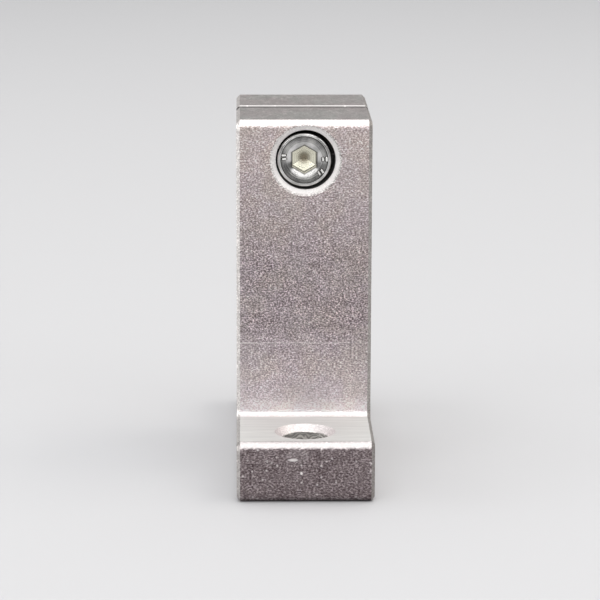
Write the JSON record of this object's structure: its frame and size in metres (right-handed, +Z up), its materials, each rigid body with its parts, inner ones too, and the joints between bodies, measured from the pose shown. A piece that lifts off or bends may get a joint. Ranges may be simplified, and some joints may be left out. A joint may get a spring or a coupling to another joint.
{
  "type": "shaft support block",
  "caption": "T-shaped block that grips a round shaft in a slit bore closed by a socket head screw, with a bolt hole through each flange of its base.",
  "frame": {"origin": "middle of the mounting face underneath, straight below the shaft's centre", "axes": "+X along the shaft, +Y along the base away from the screw's head, +Z up from the mounting face"},
  "size_m": [0.014, 0.042, 0.0375],
  "materials": {
    "block_aluminium": "fine blasted, clear anodised, slightly warm silver",
    "screw_steel": "bright turned stainless steel"
  },
  "bodies": {
    "block": {"support_block": "block_aluminium"},
    "screw": {"clamp_screw": "screw_steel"}
  },
  "joints": [
    {"name": "clamp_screw_turn", "type": "hinge", "parent": "block", "child": "screw", "pos_m": [0, -0.0066, 0.0333], "axis": [0, -1, 0], "range_deg": [0, 450]}
  ]
}
